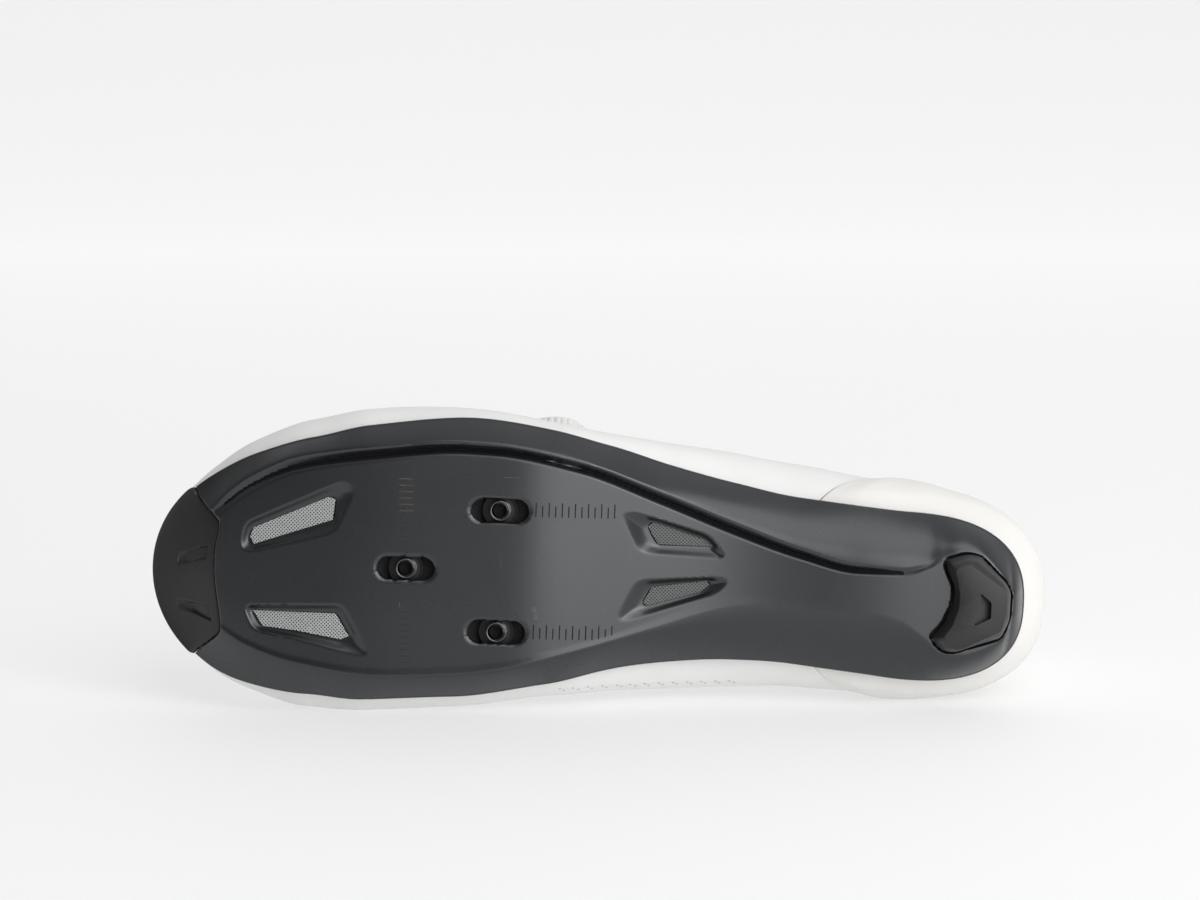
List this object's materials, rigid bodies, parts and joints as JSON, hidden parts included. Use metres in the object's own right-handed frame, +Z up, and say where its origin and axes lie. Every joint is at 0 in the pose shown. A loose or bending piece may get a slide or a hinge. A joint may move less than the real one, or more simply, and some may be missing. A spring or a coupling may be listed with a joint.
{
  "type": "cycling shoe",
  "caption": "Road cycling shoe lying on its side: hollow upper, stiff vented sole with slotted cleat nuts, rubber toe and heel pads, lace dials.",
  "frame": {"origin": "middle of the box of the shoe, on the floor that it lies on", "axes": "+Z up; +X towards the heel, along the shoe's length turned by 2 degrees; -Y is the way the sole faces, 6 degrees below level"},
  "size_m": [0.2828, 0.1016, 0.0945],
  "materials": {
    "carbon": "semi-matte black carbon composite",
    "rubber": "matt black moulded rubber",
    "weave": "light grey woven screen",
    "steel": "blackened steel",
    "microfibre": "smooth white microfibre, satin",
    "panel": "smooth warm white panel, satin",
    "lining": "pale padded fabric",
    "foam": "dark cloth over foam",
    "plastic": "light grey moulded plastic",
    "cord": "grey coated lace"
  },
  "bodies": {
    "shoe": {"outsole": "carbon", "toe_bumper": "rubber", "heel_pad": "rubber", "upper": "microfibre", "heel_counter": "panel", "tongue": "lining", "insole": "foam", "vent_screen_front_lateral": "weave", "vent_screen_front_medial": "weave", "vent_screen_rear_lateral": "weave", "vent_screen_rear_medial": "weave", "dial_base_upper": "plastic", "dial_knob_upper": "plastic", "lace_guide_upper": "plastic", "lace_upper": "cord", "dial_base_lower": "plastic", "dial_knob_lower": "plastic", "lace_guide_lower": "plastic", "lace_lower": "cord"},
    "cleat_nut_front": {"cleat_nut_front": "steel"},
    "cleat_nut_rear_lateral": {"cleat_nut_rear_lateral": "steel"},
    "cleat_nut_rear_medial": {"cleat_nut_rear_medial": "steel"}
  },
  "joints": [
    {"name": "nut_slide_front", "type": "slide", "parent": "shoe", "child": "cleat_nut_front", "axis": [-0.9994, 0.0037, 0.0347], "range_m": [-0.005, 0.005]},
    {"name": "nut_slide_rear_lateral", "type": "slide", "parent": "shoe", "child": "cleat_nut_rear_lateral", "axis": [-0.9994, 0.0037, 0.0347], "range_m": [-0.005, 0.005]},
    {"name": "nut_slide_rear_medial", "type": "slide", "parent": "shoe", "child": "cleat_nut_rear_medial", "axis": [-0.9994, 0.0037, 0.0347], "range_m": [-0.005, 0.005]}
  ]
}
